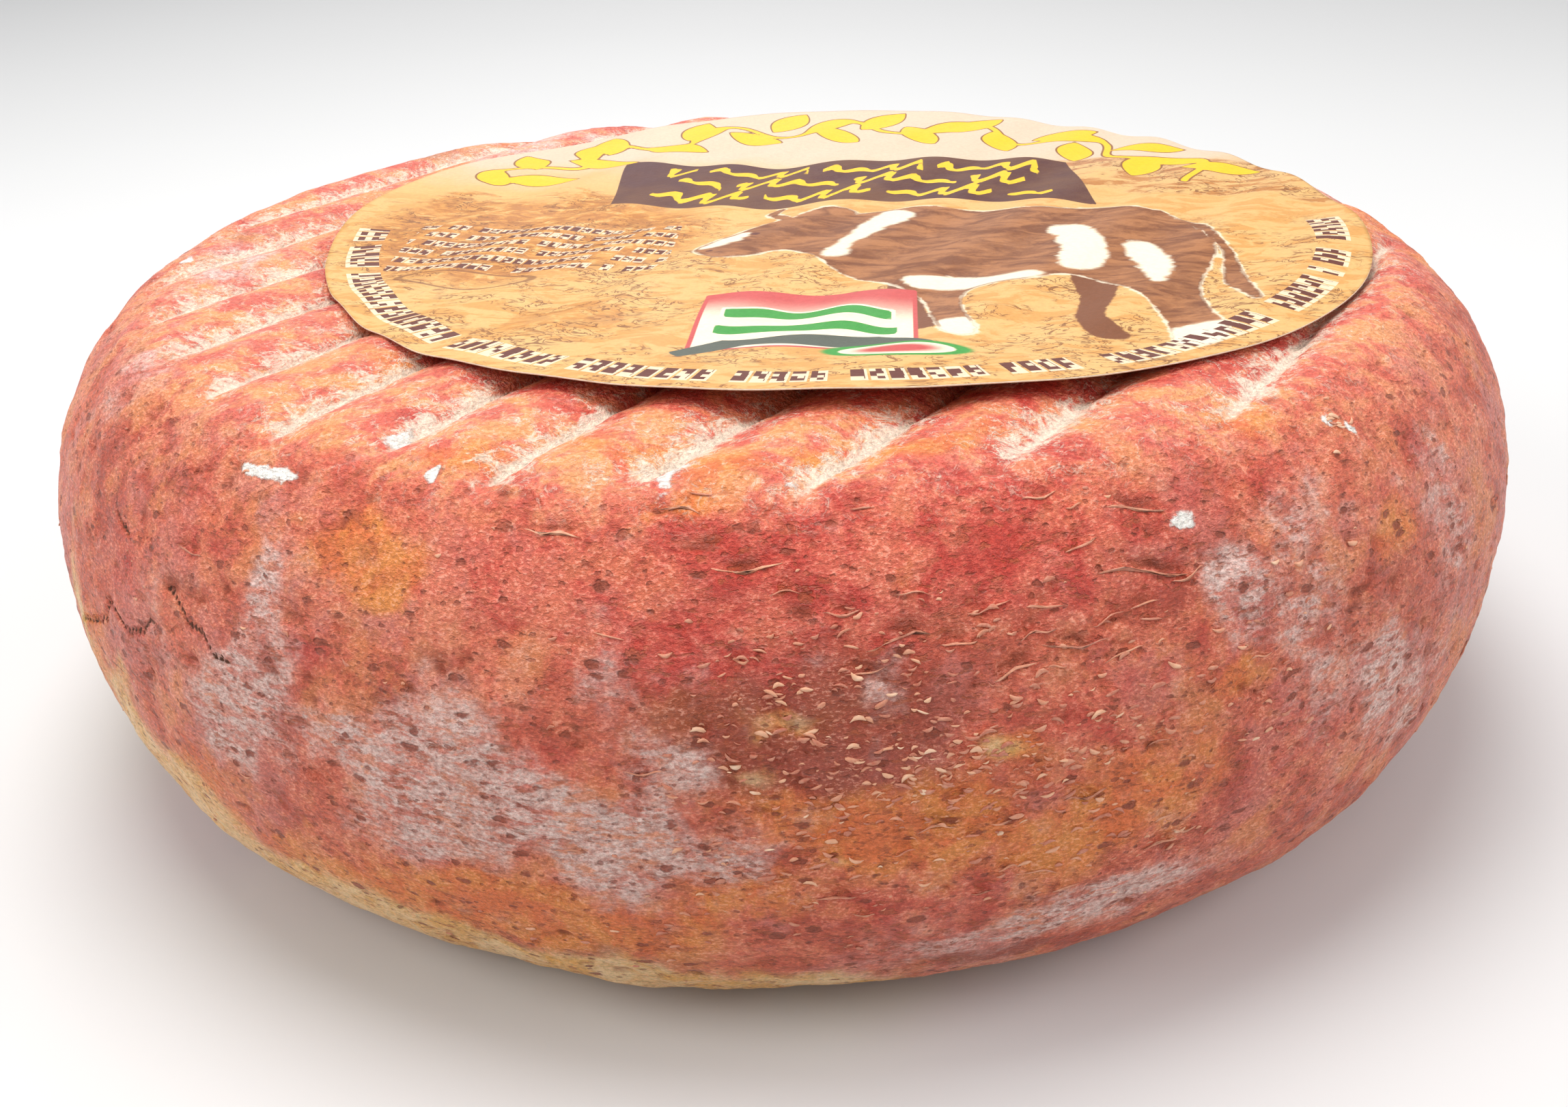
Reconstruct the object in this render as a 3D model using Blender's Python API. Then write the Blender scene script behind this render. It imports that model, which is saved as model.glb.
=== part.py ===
# A wheel of semi-hard mountain cheese with a round paper label lying on it.
# Metres, +Z up. The origin is in the middle of the wheel's base.

import math

import bmesh
import bpy

# Cheese wheel: a flat top and base joined by a bellied, rounded side
WHEEL_RADIUS = 0.143
WHEEL_HEIGHT = 0.086
BELLY_HEIGHT = 0.042  # height at which the side is widest
TOP_FLAT_RADIUS = 0.1145
BASE_FLAT_RADIUS = 0.1130
TOP_ROUND_POWER = 2.15  # superellipse power of the side above the belly
BASE_ROUND_POWER = 2.15  # and below it
WHEEL_SEGMENTS = 96
SIDE_RINGS = 9  # rings in each half of the side

# Marks that the round bars of the ripening rack press into both faces
RACK_PITCH = 0.0202
BAR_RADIUS = 0.006
BAR_SIDES = 24
TOP_MARK_DEPTH = 0.0018
TOP_MARK_ANGLE = math.radians(55.8)
TOP_MARK_START = 0.0498  # distance from the axis of one of the marks
BASE_MARK_DEPTH = 0.0009
BASE_MARK_ANGLE = math.radians(38.0)
BASE_MARK_START = RACK_PITCH / 2  # keeps a flat strip across the middle of the base
MARK_MARGIN = 0.004  # the outermost mark stays this far inside the flat face

# Paper label
LABEL_RADIUS = 0.105
LABEL_CENTRE = (0.0141, 0.0054)
LABEL_THICKNESS = 0.0003
LABEL_GAP = 0.0003  # clearance between the label and the rind
LABEL_SEGMENTS = 72
LABEL_RINGS = 8
LABEL_FLAT_SHARE = 0.62  # share of the radius that lies flat
# Where the edge curls up: direction, half width of the curl, height at the edge
LABEL_CURLS = (
    (math.radians(265.0), math.radians(24.0), 0.0026),
    (math.radians(168.0), math.radians(26.0), 0.0022),
)


def clear_scene():
    for old in list(bpy.data.objects):
        bpy.data.objects.remove(old, do_unlink=True)


def make_material(name, colour, roughness):
    material = bpy.data.materials.new(name)
    material.use_nodes = True
    shader = material.node_tree.nodes["Principled BSDF"]
    shader.inputs["Base Color"].default_value = (*colour, 1.0)
    shader.inputs["Roughness"].default_value = roughness
    shader.inputs["Metallic"].default_value = 0.0
    return material


def add_object(name, bm, material=None):
    mesh = bpy.data.meshes.new(name)
    bm.to_mesh(mesh)
    bm.free()
    piece = bpy.data.objects.new(name, mesh)
    bpy.context.scene.collection.objects.link(piece)
    if material:
        mesh.materials.append(material)
    return piece


def half_side(flat_radius, face_height, power):
    """Points of one half of the side, from the flat face out to the belly."""
    points = []
    for ring in range(SIDE_RINGS + 1):
        turn = math.pi / 2 * ring / SIDE_RINGS
        out = math.sin(turn) ** (2 / power)
        rise = max(math.cos(turn), 0.0) ** (2 / power)
        radius = flat_radius + (WHEEL_RADIUS - flat_radius) * out
        height = BELLY_HEIGHT + (face_height - BELLY_HEIGHT) * rise
        points.append((radius, height))
    return points


def wheel_body(material):
    upper = half_side(TOP_FLAT_RADIUS, WHEEL_HEIGHT, TOP_ROUND_POWER)
    lower = half_side(BASE_FLAT_RADIUS, 0.0, BASE_ROUND_POWER)
    outline = upper + lower[-2::-1]
    bm = bmesh.new()
    verts = [bm.verts.new((radius, 0.0, height)) for radius, height in outline]
    edges = [bm.edges.new(pair) for pair in zip(verts, verts[1:])]
    bmesh.ops.spin(
        bm, geom=verts + edges, cent=(0, 0, 0), axis=(0, 0, 1),
        angle=math.tau, steps=WHEEL_SEGMENTS, use_merge=True,
    )
    bmesh.ops.holes_fill(bm, edges=bm.edges[:], sides=0)
    bmesh.ops.recalc_face_normals(bm, faces=bm.faces[:])
    return add_object("cheese_wheel", bm, material)


def rack_bars(name, flat_radius, start, angle, bar_height):
    """A row of parallel round bars, each a pitch from the next, used as a cutter."""
    reach = flat_radius - MARK_MARGIN
    first = math.ceil((-reach - start) / RACK_PITCH)
    last = math.floor((reach - start) / RACK_PITCH)
    bm = bmesh.new()
    for index in range(first, last + 1):
        made = bmesh.ops.create_cone(
            bm, cap_ends=True, segments=BAR_SIDES, radius1=BAR_RADIUS,
            radius2=BAR_RADIUS, depth=WHEEL_RADIUS * 2.2,
        )
        # The bar is turned to lie along +X and moved to its place in the row
        for vert in made["verts"]:
            x, y, z = vert.co
            vert.co = (z, y + start + index * RACK_PITCH, -x + bar_height)
    bars = add_object(name, bm)
    bars.rotation_euler = (0.0, 0.0, angle)
    bars.hide_render = True
    bars.display_type = "WIRE"
    return bars


def press_marks(wheel):
    top_bars = rack_bars(
        "top_rack_bars", TOP_FLAT_RADIUS, TOP_MARK_START, TOP_MARK_ANGLE,
        WHEEL_HEIGHT + BAR_RADIUS - TOP_MARK_DEPTH,
    )
    base_bars = rack_bars(
        "base_rack_bars", BASE_FLAT_RADIUS, BASE_MARK_START, BASE_MARK_ANGLE,
        BASE_MARK_DEPTH - BAR_RADIUS,
    )
    for bars in (top_bars, base_bars):
        cut = wheel.modifiers.new(bars.name, "BOOLEAN")
        cut.operation = "DIFFERENCE"
        cut.solver = "EXACT"
        cut.object = bars


def label_rise(radius_share, direction):
    """Height of the paper above its flat middle."""
    outward = max(0.0, (radius_share - LABEL_FLAT_SHARE) / (1.0 - LABEL_FLAT_SHARE))
    rise = 0.0
    for middle, half_width, height in LABEL_CURLS:
        turn = math.remainder(direction - middle, math.tau) / half_width
        rise += height * outward ** 2 * math.exp(-turn * turn)
    return rise


def paper_label(material):
    centre_x, centre_y = LABEL_CENTRE
    bm = bmesh.new()
    verts = [
        bm.verts.new((LABEL_RADIUS * ring / LABEL_RINGS, 0.0, 0.0))
        for ring in range(LABEL_RINGS + 1)
    ]
    edges = [bm.edges.new(pair) for pair in zip(verts, verts[1:])]
    bmesh.ops.spin(
        bm, geom=verts + edges, cent=(0, 0, 0), axis=(0, 0, 1),
        angle=math.tau, steps=LABEL_SEGMENTS, use_merge=True,
    )
    bmesh.ops.remove_doubles(bm, verts=bm.verts[:], dist=0.0001)
    bmesh.ops.recalc_face_normals(bm, faces=bm.faces[:])
    if sum(face.normal.z for face in bm.faces) < 0:
        bmesh.ops.reverse_faces(bm, faces=bm.faces[:])
    for vert in bm.verts:
        x, y, _ = vert.co
        rise = label_rise(math.hypot(x, y) / LABEL_RADIUS, math.atan2(y, x))
        vert.co = (x + centre_x, y + centre_y, WHEEL_HEIGHT + LABEL_GAP + rise)
    label = add_object("paper_label", bm, material)
    paper = label.modifiers.new("paper", "SOLIDIFY")
    paper.thickness = LABEL_THICKNESS
    paper.offset = 1.0
    return label


def shade(piece, sharp_angle):
    piece.data.shade_smooth()
    piece.data.set_sharp_from_angle(angle=sharp_angle)


clear_scene()
rind = make_material("cheese_rind", (0.55, 0.22, 0.13), 0.75)
paper = make_material("label_paper", (0.85, 0.66, 0.33), 0.65)
wheel = wheel_body(rind)
press_marks(wheel)
label = paper_label(paper)
shade(wheel, math.radians(40.0))
shade(label, math.radians(40.0))
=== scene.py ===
import math
import random

import bmesh
import bpy
import numpy as np
from mathutils import Matrix, Vector, kdtree, noise


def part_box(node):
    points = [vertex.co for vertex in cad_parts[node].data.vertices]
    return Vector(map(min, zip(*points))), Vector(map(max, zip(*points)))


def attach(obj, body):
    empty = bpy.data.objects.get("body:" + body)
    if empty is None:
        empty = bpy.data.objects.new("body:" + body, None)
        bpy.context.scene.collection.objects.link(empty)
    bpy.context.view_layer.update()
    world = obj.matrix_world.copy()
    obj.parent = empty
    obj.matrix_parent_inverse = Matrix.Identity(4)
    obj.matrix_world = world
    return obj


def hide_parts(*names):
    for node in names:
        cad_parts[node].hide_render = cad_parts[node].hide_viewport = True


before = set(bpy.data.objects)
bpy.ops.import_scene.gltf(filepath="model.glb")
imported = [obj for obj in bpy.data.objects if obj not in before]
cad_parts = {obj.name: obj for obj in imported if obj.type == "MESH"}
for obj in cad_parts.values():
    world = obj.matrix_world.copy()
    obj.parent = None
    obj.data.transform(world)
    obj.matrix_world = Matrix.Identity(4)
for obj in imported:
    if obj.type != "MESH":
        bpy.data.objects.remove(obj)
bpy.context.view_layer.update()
mm = 0.001  # lengths below are in millimetres, and a mesh is scaled once, when it is finished

wheelLow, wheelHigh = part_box("cheese_wheel")
labelLow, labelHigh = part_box("paper_label")
wheelRadius = (wheelHigh.x - wheelLow.x) / 2 / mm
wheelHeight = wheelHigh.z / mm
labelRadius = (labelHigh.x - labelLow.x) / 2 / mm
labelX = (labelLow.x + labelHigh.x) / 2 / mm
labelY = (labelLow.y + labelHigh.y) / 2 / mm
rack = {"pitch": 20.2, "angle": 55.8, "start": 49.8, "baseAngle": 38.0}  # as in the CAD


def smoothStep(low, high, values):
    t = np.clip((values - low) / (high - low), 0, 1)
    return t * t * (3 - 2 * t)


# fractal noise at each point, about -1 to 1
def wobble(points, size, octaves=3, shift=0.0):
    away = Vector((shift, shift * 1.7, -shift))
    return np.array([noise.fractal(Vector(p) / size + away, 1.0, 2.0, octaves) for p in points.tolist()])


# distance from the nearest line of a row of parallel rack marks
def markDistance(x, y, angle, start, pitch):
    turn = math.radians(angle)
    across = -math.sin(turn) * x + math.cos(turn) * y - start
    return across - pitch * np.round(across / pitch)


def addObject(name, mesh, material):
    made = bpy.data.objects.new(name, mesh)
    bpy.context.scene.collection.objects.link(made)
    mesh.materials.append(material)
    return made


def newMesh(bm, name):
    mesh = bpy.data.meshes.new(name)
    bm.to_mesh(mesh)
    bm.free()
    return mesh


# a tree that finds the points nearest to a place
def searchTree(points):
    tree = kdtree.KDTree(len(points))
    for index, point in enumerate(points):
        tree.insert(point, index)
    tree.balance()
    return tree


def readPoints(mesh):
    flat = np.zeros(len(mesh.vertices) * 3)
    mesh.vertices.foreach_get("co", flat)
    return flat.reshape(-1, 3)


def writePoints(mesh, points):
    mesh.vertices.foreach_set("co", (points * mm).ravel())
    mesh.update()


def writeFields(mesh, fields):
    for name, values in fields.items():
        field = mesh.attributes.new(name, "FLOAT", "POINT")
        field.data.foreach_set("value", values.astype(np.float32))


# node helpers: a value that is a socket gets linked, any other is typed in
def feed(tree, socket, value):
    if isinstance(value, bpy.types.NodeSocket):
        tree.links.new(value, socket)
    elif socket.type == "RGBA" and len(value) == 3:
        socket.default_value = (*value, 1.0)
    else:
        socket.default_value = value


def addNode(tree, kind, settings=None, **inputs):
    made = tree.nodes.new("ShaderNode" + kind)
    for name, value in (settings or {}).items():
        setattr(made, name, value)
    for name, value in inputs.items():
        feed(tree, made.inputs[name], value)
    return made


def calc(tree, operation, first, second=0.0, third=0.0):
    made = addNode(tree, "Math", {"operation": operation})
    for socket, value in zip(made.inputs, (first, second, third)):
        feed(tree, socket, value)
    return made.outputs[0]


def times(tree, first, *others):
    for value in others:
        first = calc(tree, "MULTIPLY", first, value)
    return first


# a sum of values, each with its weight
def addUp(tree, first, *others):
    total = calc(tree, "MULTIPLY", *first)
    for value, weight in others:
        total = calc(tree, "MULTIPLY_ADD", value, weight, total)
    return total


# a value pushed up and down by a noise, which swings about one half
def jostle(tree, value, cloud, amount):
    return calc(tree, "MULTIPLY_ADD", calc(tree, "SUBTRACT", cloud, 0.5), amount, value)


def fade(tree, value, low, high, start=0.0, end=1.0):
    limits = {"From Min": low, "From Max": high, "To Min": start, "To Max": end}
    return addNode(tree, "MapRange", {"interpolation_type": "SMOOTHSTEP"}, Value=value, **limits).outputs[0]


# thin lines where a noise crosses one half
def threads(tree, cloud, low, high):
    return fade(tree, calc(tree, "ABSOLUTE", calc(tree, "SUBTRACT", cloud, 0.5)), low, high, 1.0, 0.0)


def within(tree, value, low, high):
    return times(tree, calc(tree, "GREATER_THAN", value, low), calc(tree, "LESS_THAN", value, high))


def mixColours(tree, amount, first, second, mode="MIX"):
    made = addNode(tree, "Mix", {"data_type": "RGBA", "blend_type": mode})
    for index, value in ((0, amount), (6, first), (7, second)):
        feed(tree, made.inputs[index], value)
    return made.outputs[2]


def speckle(tree, vector, size, detail=2.0, roughness=0.5, distortion=0.0):
    made = addNode(tree, "TexNoise", None, Vector=vector, Scale=1 / (size * mm), Detail=detail,
                   Roughness=roughness, Distortion=distortion)
    return made.outputs[0]


def stretch(tree, vector, x=1.0, y=1.0, z=1.0):
    made = addNode(tree, "Mapping", None, Vector=vector)
    made.inputs["Scale"].default_value = (x, y, z)
    return made.outputs[0]


def readField(tree, name):
    return addNode(tree, "Attribute", {"attribute_name": name}).outputs["Fac"]


def ramp(tree, value, stops):
    made = addNode(tree, "ValToRGB", None, Fac=value)
    while len(made.color_ramp.elements) < len(stops):
        made.color_ramp.elements.new(0.5)
    for element, (place, colour) in zip(made.color_ramp.elements, stops):
        element.position = place
        element.color = (*colour, 1.0)
    return made.outputs[0]


# layers laid one over another, each an amount and a colour
def glaze(tree, colour, *layers):
    for amount, tint in layers:
        colour = mixColours(tree, amount, colour, tint)
    return colour


# a colour made lighter or darker by a factor
def shade(tree, colour, tone):
    grey = addNode(tree, "CombineColor", None, Red=tone, Green=tone, Blue=tone).outputs[0]
    return mixColours(tree, 1.0, colour, grey, "MULTIPLY")


def newMaterial(name):
    made = bpy.data.materials.new(name)
    made.use_nodes = True
    return made, made.node_tree, addNode(made.node_tree, "TexCoord").outputs["Object"]


# joins a colour, and a bump if there is one, to the material's shader
def dress(material, colour, settings, height=None, strength=0.0, depth=0.0):
    tree = material.node_tree
    shader = tree.nodes["Principled BSDF"]
    for name, value in {"Base Color": colour, **settings}.items():
        feed(tree, shader.inputs[name], value)
    if height is not None:
        bump = addNode(tree, "Bump", None, Height=height, Strength=strength, Distance=depth * mm)
        feed(tree, shader.inputs["Normal"], bump.outputs[0])
    return material


def newGroup(name, inputs, outputs):
    group = bpy.data.node_groups.new(name, "ShaderNodeTree")
    for title, kind, value in inputs:
        socket = group.interface.new_socket(title, in_out="INPUT", socket_type="NodeSocket" + kind)
        if value is not None:
            socket.default_value = value
    for title, kind in outputs:
        group.interface.new_socket(title, in_out="OUTPUT", socket_type="NodeSocket" + kind)
    return group, group.nodes.new("NodeGroupInput").outputs, group.nodes.new("NodeGroupOutput").inputs


def useGroup(tree, group, **inputs):
    made = tree.nodes.new("ShaderNodeGroup")
    made.node_tree = group
    for name, value in inputs.items():
        feed(tree, made.inputs[name], value)
    return made.outputs


# a stain with a ragged, mouldy edge: the amount painted on the mesh, broken up by noise
def buildStainGroup():
    group, given, result = newGroup(
        "raggedStain",
        [("Vector", "Vector", None), ("Amount", "Float", 0.0), ("Scale", "Float", 80.0),
         ("Ragged", "Float", 0.8), ("Softness", "Float", 0.2)],
        [("Mask", "Float")])
    cloud = addNode(group, "TexNoise", None, Vector=given["Vector"], Scale=given["Scale"],
                    Detail=6.0, Roughness=0.66).outputs[0]
    pushed = jostle(group, given["Amount"], cloud, given["Ragged"])
    low, high = (calc(group, change, 0.5, given["Softness"]) for change in ("SUBTRACT", "ADD"))
    feed(group, result["Mask"], fade(group, pushed, low, high))
    return group


# fine rind grain: a colour speckle from 0 to 1 and a height in the same places
def buildGrainGroup():
    group, given, result = newGroup(
        "rindGrain",
        [("Vector", "Vector", None), ("Scale", "Float", 700.0)],
        [("Speckle", "Float"), ("Height", "Float")])
    grain = addNode(group, "TexNoise", None, Vector=given["Vector"], Scale=given["Scale"],
                    Detail=5.0, Roughness=0.72).outputs[0]
    knots = addNode(group, "TexVoronoi", None, Vector=given["Vector"], Scale=given["Scale"]).outputs[0]
    feed(group, result["Speckle"], fade(group, grain, 0.32, 0.68))
    feed(group, result["Height"], calc(group, "MULTIPLY_ADD", knots, -0.25, grain))
    return group


# small irregular pores: one in some of the cells of a jittered pattern
def buildPoreGroup():
    group, given, result = newGroup(
        "rindPores",
        [("Vector", "Vector", None), ("Scale", "Float", 300.0), ("Share", "Float", 0.5)],
        [("Mask", "Float")])
    cells = addNode(group, "TexVoronoi", None, Vector=given["Vector"], Scale=given["Scale"]).outputs
    chance = addNode(group, "SeparateColor", None, Color=cells["Color"]).outputs
    uneven = addNode(group, "TexNoise", None, Vector=given["Vector"],
                     Scale=calc(group, "MULTIPLY", given["Scale"], 2.6), Detail=2.0).outputs[0]
    away = calc(group, "MULTIPLY_ADD", uneven, 0.7, cells["Distance"])
    size = calc(group, "MULTIPLY_ADD", chance[1], 0.20, 0.42)
    spot = fade(group, away, calc(group, "SUBTRACT", size, 0.09), calc(group, "ADD", size, 0.05), 1.0, 0.0)
    shown = calc(group, "LESS_THAN", chance[0], given["Share"])
    feed(group, result["Mask"], calc(group, "MULTIPLY", spot, shown))
    return group


rindShape = {
    "belly": 42.0, "topFlat": 114.5, "baseFlat": 113.0, "roundPower": 2.15,  # as in the CAD
    "turns": 600, "frontShare": 0.36,  # the share by which the front has closer points than the back
    "innerRings": 9, "topRings": 26, "sideRings": 106, "baseRings": 14, "labelledRadius": 84.0,
    "sideRadius": 140.0,  # of the side on average, for turning lengths along it into degrees
    "creaseDepth": 1.8, "creaseWidth": 1.0, "grooveDepth": 0.9, "grooveWidth": 4.0, "fuzzWidth": 4.0,
    "landRise": 0.55, "creaseEnd": 124.0, "labelDip": 0.3, "baseMarkRise": 0.9, "baseMarkWidth": 3.2,
    "swell": 0.9, "lumps": 0.42, "grain": 0.2, "crackDepth": 0.7,
}

# stains given one by one: direction in degrees from +X, distance down the rind from the middle of
# the top, half width and half height, strength
rindStains = {
    "crimson": [
        (-106, 136, 10, 6, 0.9), (-101, 138, 10, 6, 0.9), (-94.5, 133, 9, 4, 0.8), (-84, 127, 10, 4, 0.9),
        (-78, 129, 14, 6, 1.0), (-79, 136, 13, 5, 0.9), (-90, 145, 13, 5, 0.9), (-129, 142, 7, 6, 0.8),
        (-119, 153, 4, 3, 0.9), (-46, 141, 8, 6, 0.7), (-73, 138, 12, 6, 0.8), (-98, 143, 12, 5, 0.7),
        (-86, 138, 16, 5, 0.8), (-70, 120, 10, 4, 1.0), (-62, 132, 12, 7, 0.5), (-75, 157, 10, 5, 0.7),
        (-60, 172, 10, 7, 0.6), (-104, 160, 8, 4, 0.6), (-84, 184, 14, 6, 0.6), (-113, 148, 9, 5, 0.5),
        (-137, 150, 7, 8, 0.6), (-66, 152, 8, 4, 0.6), (-118, 108, 8, 4, 0.7), (-65, 108, 14, 4, 0.7),
    ],
    "ochre": [
        (-116, 137, 9, 5, 1.0), (-113, 139, 5, 3, 0.8), (-94.2, 119, 6, 4, 1.2), (-111.8, 118, 6, 4, 0.9),
        (-102.5, 112, 7, 4, 0.8), (-80, 114, 10, 4, 0.9), (-131, 97, 10, 6, 0.6), (-64.5, 160, 5, 4, 0.9),
        (-56.8, 124, 5, 4, 0.9), (-48.8, 149, 6, 4, 0.7), (-81, 170, 10, 6, 0.75), (-71, 165, 8, 5, 0.6),
        (-75, 178, 12, 6, 0.75), (-69, 173, 9, 5, 0.55), (-90, 168, 7, 4, 0.9), (-86, 174, 7, 5, 0.7),
        (-109, 187, 12, 5, 1.0), (-102, 190, 14, 5, 1.0), (-93, 181, 10, 4, 0.8), (-78.5, 160, 4, 1.6, 0.9),
        (-90, 154, 5, 2.5, 0.8), (-97, 128, 6, 3, 0.6), (-119, 190, 14, 6, 0.8), (-130, 184, 9, 8, 0.8),
        (-145, 172, 6, 12, 0.7), (-87, 112, 6, 3, 0.7), (-124, 120, 6, 4, 0.6), (-138, 120, 8, 5, 0.6),
    ],
    "brown": [
        (-92.5, 152, 10, 4, 0.9), (-88, 153, 10, 4, 0.9), (-84, 154, 9, 4, 0.9), (-90.5, 160, 13, 5, 0.9),
        (-82, 143, 6, 3, 0.5), (-87, 165, 10, 4, 0.6), (-109.5, 151, 3, 2, 0.6), (-122, 144, 4, 3, 0.5),
        (-80.2, 199.5, 8, 1.5, 1.2), (-76.8, 199.5, 6, 1.2, 1.2), (-103, 195, 14, 4, 0.5),
        (-50, 155, 8, 4, 0.5),
        (-130, 152, 3, 2, 0.7), (-115, 158, 6, 3, 0.4), (-106, 174, 6, 3, 0.5),
    ],
    "bloom": [
        (-122.2, 142, 4, 5, 0.9), (-122.8, 148, 2.5, 3, 1.1), (-122.5, 159, 5, 5, 1.3),
        (-124.5, 168, 6, 6, 1.5),
        (-115, 166, 10, 5, 1.1), (-109, 157, 7, 5, 0.7), (-107.5, 166, 9, 5, 1.0), (-102.2, 171, 9, 5, 1.1),
        (-99, 178.5, 8, 4, 1.2), (-103, 169, 8, 5, 0.9), (-96.5, 159, 3.5, 3.5, 1.1), (-99.5, 149, 4, 4, 0.7),
        (-65.2, 146.5, 6, 4.5, 1.1), (-52, 170, 5, 7, 1.1), (-57.5, 166, 6, 5, 0.7), (-47, 180, 7, 8, 0.8),
        (-79.5, 194, 10, 4, 0.8), (-73.5, 191, 10, 4, 0.8), (-67, 190, 10, 4, 0.8), (-85, 149, 4, 3, 0.5),
        (-94, 176, 6, 4, 0.6), (-112, 175, 9, 5, 0.9), (-90, 172, 6, 4, 0.4), (-60, 152, 8, 6, 0.6),
        (-42, 150, 8, 14, 0.6), (-148, 122, 6, 18, 0.5), (-133, 162, 6, 8, 0.4), (-56, 140, 8, 7, 0.5),
    ],
    "cream": [
        (-140, 181, 7, 9, 1.0), (-134, 193, 12, 9, 1.1), (-121, 199, 16, 7, 1.1), (-110, 203, 16, 6, 1.2),
        (-100.5, 205, 16, 6, 1.2), (-91, 207, 12, 6, 1.0), (-147, 170, 4, 12, 0.8), (-156, 190, 16, 15, 1.0),
        (-105, 216, 60, 9, 1.0), (-172, 205, 22, 14, 0.8),
        (-90.5, 153.5, 4, 2.0, 0.6), (-79.0, 160.5, 4, 1.6, 0.7), (-92.3, 163.5, 3.5, 2, 0.5),
        (-86.5, 176, 3, 1.2, 0.5),
    ],
    "chalk": [
        (-126.4, 129.2, 3.4, 0.9, 1.4), (-124, 128.3, 2.2, 0.8, 1.2), (-113.2, 123.5, 0.8, 1.4, 1.2),
        (-118.6, 115.5, 1.3, 3, 1.0), (-89.5, 121.8, 2.2, 1.4, 0.5),
        (-66, 136, 1.5, 0.8, 1.3), (-51.2, 129, 0.9, 0.8, 1.2), (-49.8, 131.5, 0.7, 0.8, 1.2),
        (-98, 119.5, 1.3, 3.6, 0.8), (-97, 115, 1.2, 3, 0.6),
    ],
}
strayStains = {  # the same kinds scattered at random: how many, strength, and the ranges of the distance
    # down, the half width and the half height
    "crimson": (24, 0.8, ((100, 215), (7, 20), (4, 9))), "ochre": (28, 0.85, ((100, 215), (7, 20), (4, 9))),
    "brown": (12, 0.6, ((100, 215), (7, 20), (4, 9))), "bloom": (34, 0.8, ((100, 215), (7, 20), (4, 9))),
    "cream": (8, 1.0, ((206, 222), (7, 20), (4, 9))),
    "chalk": (14, 1.0, ((100, 215), (1.0, 3.5), (0.7, 1.6))),
}

rindMarks = {
    "flakes": [  # thin lifted skins: direction, distance down the rind, length
        (-69.4, 141.3, 14), (-66.8, 143, 6), (-68.8, 132.6, 9), (-70, 145.3, 5), (-72.3, 146, 5),
        (-74.6, 148.5, 9), (-79, 142, 6), (-92, 134.8, 10), (-83.2, 139.2, 4.5), (-84.2, 144.8, 8),
        (-103.8, 130.8, 8), (-129.6, 144.4, 6), (-87, 141, 5), (-81, 146, 5), (-76, 143, 5), (-73, 136, 5),
        (-90, 138, 4), (-78, 150.5, 6), (-86, 148.5, 5), (-71.5, 151, 6),
    ],
    "strayFlakes": 44,
    "cracks": [  # zigzags of direction and distance down the rind
        [(-145.8, 170), (-142, 166.5), (-140, 164), (-139.2, 160), (-138, 161), (-136.2, 162.5),
         (-134, 160.5), (-133, 157.5)],
        [(-131.5, 151.5), (-130.5, 152), (-129.2, 153.6), (-128.8, 155), (-127.2, 155), (-126.5, 156.2),
         (-125.8, 157.6), (-124.5, 157.6)],
        [(-139.2, 145.4), (-138.2, 146.6), (-137, 147)],
    ],
    "holes": [  # direction, distance down, half width, half height, depth
        (-64.2, 160.5, 0.9, 0.8, 1.2), (-63, 162, 0.7, 0.6, 1.0), (-97.5, 126.5, 1.3, 0.9, 0.9),
        (-88.5, 131.5, 0.9, 0.7, 0.9), (-109.5, 150.5, 1.4, 1.0, 1.0), (-103.5, 192, 1.6, 0.9, 1.0),
        (-94.5, 131.6, 3.8, 1.1, 1.0), (-54, 153.6, 4.5, 0.8, 0.8), (-50.8, 155, 1.6, 1.2, 0.9),
        (-45.8, 171.5, 1.2, 1.7, 0.9), (-49.5, 174.5, 1.2, 1.3, 0.9), (-131, 151, 3.0, 1.4, 0.7),
        (-137.5, 137, 1.2, 2.6, 0.6), (-104.5, 129.5, 3.0, 0.8, 0.8),
        (-40, 150, 1.7, 1.2, 0.9), (-38, 165, 2.2, 1.3, 1.0), (-42, 158, 1.6, 1.1, 0.9),
        (-36, 175, 2.0, 1.4, 1.0), (-44, 185, 1.6, 1.1, 0.9), (-34, 158, 1.7, 1.1, 0.9),
        (-40, 178, 1.9, 1.2, 1.0), (-47, 165, 1.5, 1.0, 0.8), (-52, 148, 1.4, 1.0, 0.8),
        (-141, 128, 1.6, 0.9, 0.8), (-136, 143, 1.5, 1.0, 0.9), (-132, 133, 1.7, 0.8, 0.8),
        (-128, 160, 1.9, 1.1, 0.9), (-121, 157, 1.5, 1.0, 0.8), (-118, 171, 1.7, 0.9, 0.8),
    ],
    "pits": 1700, "dents": 80,
}


# the wheel's outline as distance down the rind, radius and height
def rindOutline():
    half = np.linspace(0, math.pi / 2, 500)
    out = np.sin(half) ** (2 / rindShape["roundPower"])
    rise = np.clip(np.cos(half), 0, 1) ** (2 / rindShape["roundPower"])
    topWide = wheelRadius - rindShape["topFlat"]
    baseWide = wheelRadius - rindShape["baseFlat"]
    topTall = wheelHeight - rindShape["belly"]
    upper = np.stack([rindShape["topFlat"] + topWide * out, rindShape["belly"] + topTall * rise], 1)
    lower = np.stack([rindShape["baseFlat"] + baseWide * out, rindShape["belly"] * (1 - rise)], 1)
    line = np.vstack([[(0.0, wheelHeight)], upper, lower[-2::-1], [(0.0, 0.0)]])
    down = np.r_[0, np.cumsum(np.hypot(*np.diff(line, axis=0).T))]
    return down, line[:, 0], line[:, 1]


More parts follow.
